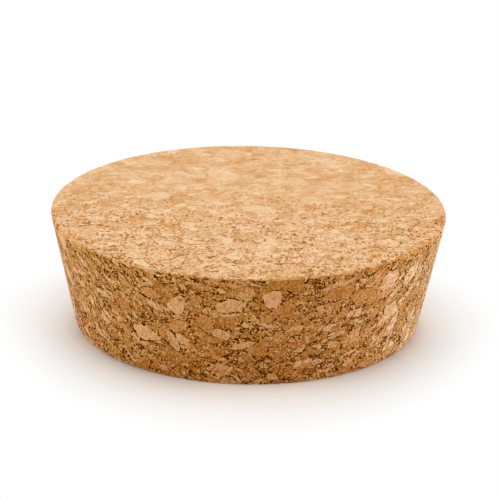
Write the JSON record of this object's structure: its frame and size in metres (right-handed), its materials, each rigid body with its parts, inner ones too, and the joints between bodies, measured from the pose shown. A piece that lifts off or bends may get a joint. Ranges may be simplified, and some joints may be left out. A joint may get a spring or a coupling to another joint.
{
  "type": "cork stopper",
  "caption": "Tapered round stopper of pressed cork granules that plugs the mouth of a wide jar or bottle.",
  "frame": {"origin": "centre of the narrow end's face, on which the stopper stands", "axes": "+Z along the axis of the taper, from the narrow end to the wide end; X and Y are any two directions across it"},
  "size_m": [0.0848, 0.0848, 0.025],
  "materials": {
    "cork": "matt"
  },
  "bodies": {
    "root": {"stopper": "cork"}
  },
  "joints": []
}
